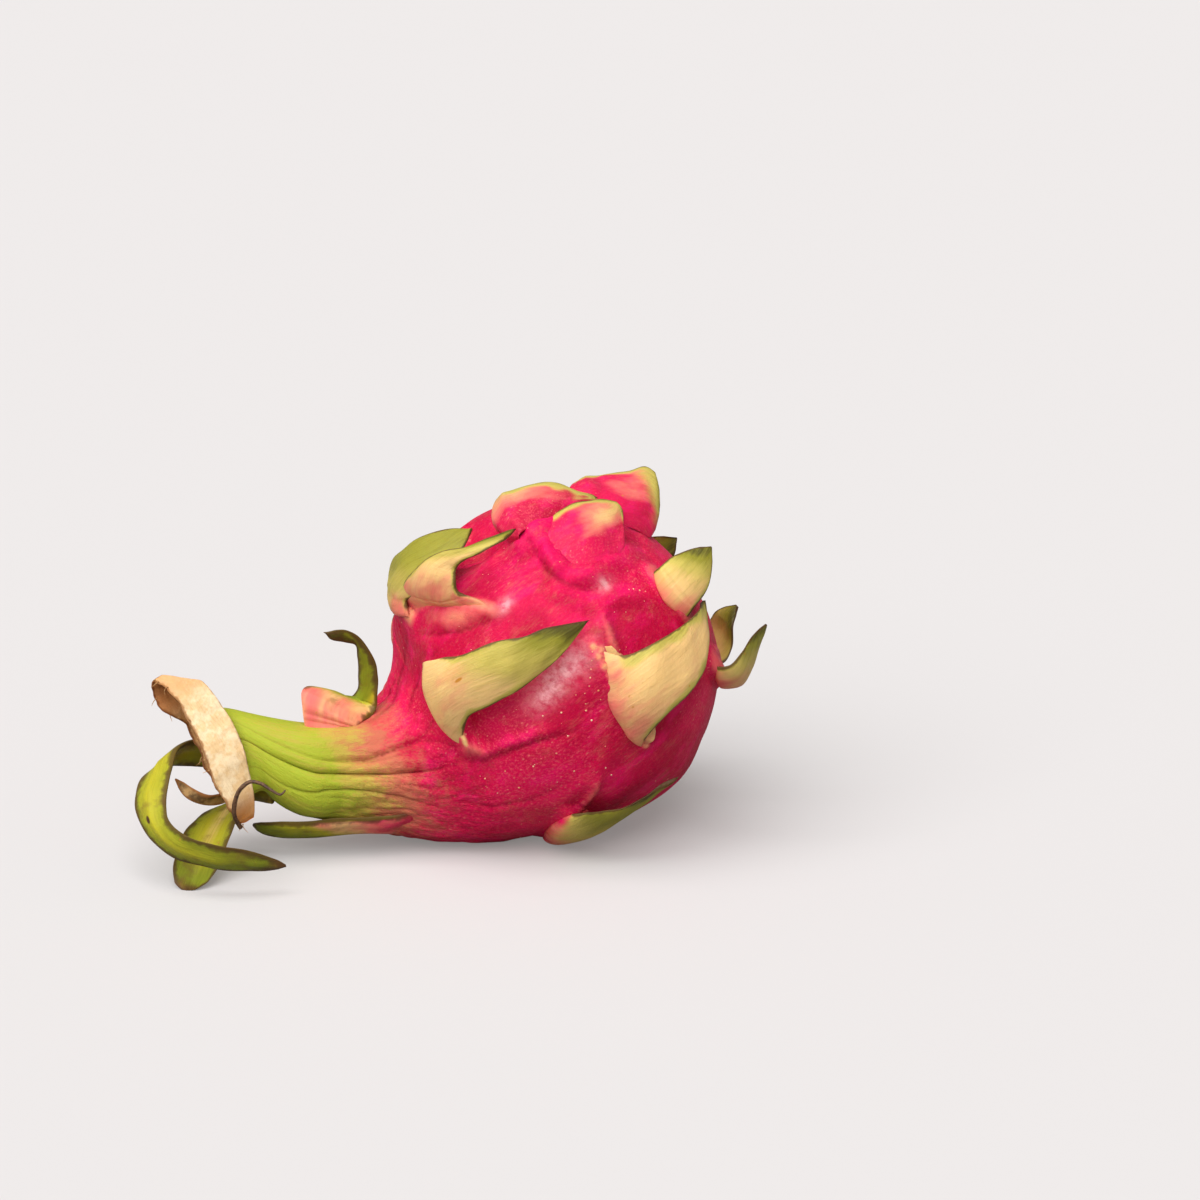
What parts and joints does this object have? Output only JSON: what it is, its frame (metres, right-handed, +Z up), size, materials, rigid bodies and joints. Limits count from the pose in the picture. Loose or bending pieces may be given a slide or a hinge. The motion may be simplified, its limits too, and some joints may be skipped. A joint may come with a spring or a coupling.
{
  "type": "dragon fruit",
  "caption": "Whole dragon fruit lying on its side: egg-shaped red body with curled green-tipped scales, a fleshy neck and the dried collar of its flower.",
  "frame": {"origin": "under the middle of the fruit's box, on the surface that it lies on", "axes": "+X towards the stem end, -X towards the neck and the dried collar, +Z up, -Y towards the side that carries the long front scale"},
  "size_m": [0.1599, 0.1118, 0.0972],
  "materials": {
    "skin": "waxy satin fruit skin, magenta, with peach to green scales",
    "dried_paper": "dry, papery, matte",
    "dried_thread": "dry, matte"
  },
  "bodies": {
    "root": {"fruit": "skin", "dried_collar": "dried_paper", "dried_style": "dried_thread"}
  },
  "joints": []
}
